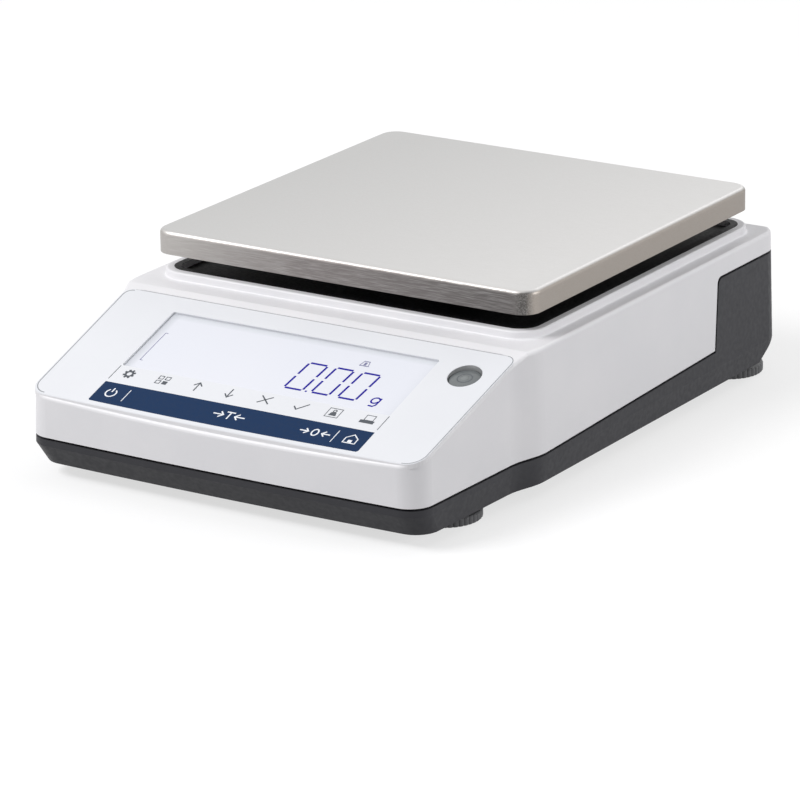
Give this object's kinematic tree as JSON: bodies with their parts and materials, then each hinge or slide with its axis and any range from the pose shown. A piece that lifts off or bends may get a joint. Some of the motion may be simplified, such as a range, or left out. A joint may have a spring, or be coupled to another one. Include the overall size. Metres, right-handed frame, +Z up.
{
  "type": "top loading balance",
  "caption": "Top loading precision balance with a square steel pan, sloping touch terminal, level glass, screw feet, and a guided load cell with lever and coil.",
  "frame": {"origin": "centre of the footprint at table height, under the levelling feet", "axes": "+X to the user's right, -Y towards the user at the terminal, +Z up"},
  "size_m": [0.1964, 0.28, 0.082],
  "materials": {
    "housing_white": "satin white lacquer with a fine grain",
    "base_dark": "anthracite powder coat on a cast base",
    "panel": "printed keyboard foil, satin",
    "display": "clear display window, lit white from behind",
    "lcd": "display cell glass",
    "board": "green solder mask",
    "screw_steel": "zinc plated",
    "level_cup": "grey moulded cup",
    "level_fluid": "glass vial with clear fluid",
    "plate_black": "black, fine texture",
    "pan_steel": "brushed stainless, one direction",
    "support_cast": "black coated pressure casting",
    "buffer_rubber": "black soft rubber",
    "cell_alloy": "milled and spark eroded",
    "load_cone_steel": "turned stainless",
    "magnet_steel": "nickel plated soft iron",
    "coil_former": "natural moulded former",
    "copper": "enamelled copper wire",
    "sensor_black": "black moulded fork",
    "socket_metal": "tin plated shells",
    "socket_black": "black moulded insulator",
    "bush_brass": "turned threaded insert",
    "foot_plastic": "dark moulded hand wheel",
    "foot_rubber": "black rubber sole"
  },
  "bodies": {
    "body": {"bottom_housing": "base_dark", "top_housing": "housing_white", "touch_panel": "panel", "display_window": "display", "lcd_frame": "coil_former", "lcd_glass": "lcd", "display_board": "board", "display_screws": "screw_steel", "level_body": "level_cup", "level_glass": "level_fluid", "draught_plate": "plate_black", "cell_frame": "cell_alloy", "magnet_pot": "magnet_steel", "magnet_core": "magnet_steel", "position_sensor": "sensor_black", "cell_screws": "screw_steel", "overload_stops": "screw_steel", "cover_screw": "screw_steel", "foot_bushes": "bush_brass", "main_board": "board", "board_screws": "screw_steel", "housing_screws": "screw_steel", "io_board": "board", "serial_socket": "socket_metal", "serial_jackscrews": "screw_steel", "usb_b_socket": "socket_metal", "usb_a_socket": "socket_metal", "power_socket": "socket_black"},
    "receiver": {"load_receiver": "cell_alloy", "load_cone": "load_cone_steel"},
    "lower_guide": {"lower_guide": "cell_alloy"},
    "upper_guide": {"upper_guide": "cell_alloy"},
    "lever": {"lever": "cell_alloy", "coil_former": "coil_former", "coil": "copper"},
    "pan_support": {"pan_support": "support_cast", "support_buffers": "buffer_rubber"},
    "pan": {"weighing_pan": "pan_steel"},
    "hook_cover": {"hook_cover": "foot_plastic"},
    "foot_sole_front_left": {"foot_sole_front_left": "foot_rubber"},
    "foot_front_left": {"foot_wheel_front_left": "foot_plastic", "foot_stud_front_left": "screw_steel"},
    "foot_sole_front_right": {"foot_sole_front_right": "foot_rubber"},
    "foot_front_right": {"foot_wheel_front_right": "foot_plastic", "foot_stud_front_right": "screw_steel"},
    "foot_sole_rear_left": {"foot_sole_rear_left": "foot_rubber"},
    "foot_rear_left": {"foot_wheel_rear_left": "foot_plastic", "foot_stud_rear_left": "screw_steel"},
    "foot_sole_rear_right": {"foot_sole_rear_right": "foot_rubber"},
    "foot_rear_right": {"foot_wheel_rear_right": "foot_plastic", "foot_stud_rear_right": "screw_steel"}
  },
  "joints": [
    {"name": "load_travel", "type": "slide", "parent": "body", "child": "receiver", "axis": [0, 0, 1], "range_m": [-0.0005, 0], "stiffness_N_per_m": 20000, "springref_m": 0.0006},
    {"name": "lower_guide_flex", "type": "hinge", "parent": "body", "child": "lower_guide", "pos_m": [0, 0.0852, 0.01675], "axis": [1, 0, 0], "range_deg": [0, 0.78]},
    {"name": "upper_guide_flex", "type": "hinge", "parent": "body", "child": "upper_guide", "pos_m": [0, 0.0852, 0.04525], "axis": [1, 0, 0], "range_deg": [0, 0.78]},
    {"name": "lever_fulcrum", "type": "hinge", "parent": "body", "child": "lever", "pos_m": [0, 0.0617, 0.032], "axis": [1, 0, 0], "range_deg": [0, 2.74]},
    {"name": "support_lift", "type": "slide", "parent": "receiver", "child": "pan_support", "axis": [0, 0, 1], "range_m": [0, 0.05]},
    {"name": "pan_lift", "type": "slide", "parent": "pan_support", "child": "pan", "axis": [0, 0, 1], "range_m": [0, 0.06]},
    {"name": "hook_cover_swing", "type": "hinge", "parent": "body", "child": "hook_cover", "pos_m": [0.017, 0.0377, 0.0052], "axis": [0, 0, 1], "range_deg": [0, 110]},
    {"name": "foot_travel_front_left", "type": "slide", "parent": "body", "child": "foot_sole_front_left", "axis": [0, 0, -1], "range_m": [0, 0.00401]},
    {"name": "foot_turn_front_left", "type": "hinge", "parent": "foot_sole_front_left", "child": "foot_front_left", "pos_m": [-0.0754, -0.0931, 0.002], "axis": [0, 0, -1], "range_deg": [0, 1440]},
    {"name": "foot_travel_front_right", "type": "slide", "parent": "body", "child": "foot_sole_front_right", "axis": [0, 0, -1], "range_m": [0, 0.00401]},
    {"name": "foot_turn_front_right", "type": "hinge", "parent": "foot_sole_front_right", "child": "foot_front_right", "pos_m": [0.0754, -0.0931, 0.002], "axis": [0, 0, -1], "range_deg": [0, 1440]},
    {"name": "foot_travel_rear_left", "type": "slide", "parent": "body", "child": "foot_sole_rear_left", "axis": [0, 0, -1], "range_m": [0, 0.00401]},
    {"name": "foot_turn_rear_left", "type": "hinge", "parent": "foot_sole_rear_left", "child": "foot_rear_left", "pos_m": [-0.0809, 0.1241, 0.002], "axis": [0, 0, -1], "range_deg": [0, 1440]},
    {"name": "foot_travel_rear_right", "type": "slide", "parent": "body", "child": "foot_sole_rear_right", "axis": [0, 0, -1], "range_m": [0, 0.00401]},
    {"name": "foot_turn_rear_right", "type": "hinge", "parent": "foot_sole_rear_right", "child": "foot_rear_right", "pos_m": [0.0809, 0.1241, 0.002], "axis": [0, 0, -1], "range_deg": [0, 1440]}
  ],
  "couplings": [
    {"joint": "lower_guide_flex", "follows": "load_travel", "rad_per_m": -27.027},
    {"joint": "upper_guide_flex", "follows": "load_travel", "rad_per_m": -27.027},
    {"joint": "lever_fulcrum", "follows": "load_travel", "rad_per_m": -95.238},
    {"joint": "foot_travel_front_left", "follows": "foot_turn_front_left", "m_per_rad": 0.00015915},
    {"joint": "foot_travel_front_right", "follows": "foot_turn_front_right", "m_per_rad": 0.00015915},
    {"joint": "foot_travel_rear_left", "follows": "foot_turn_rear_left", "m_per_rad": 0.00015915},
    {"joint": "foot_travel_rear_right", "follows": "foot_turn_rear_right", "m_per_rad": 0.00015915}
  ]
}
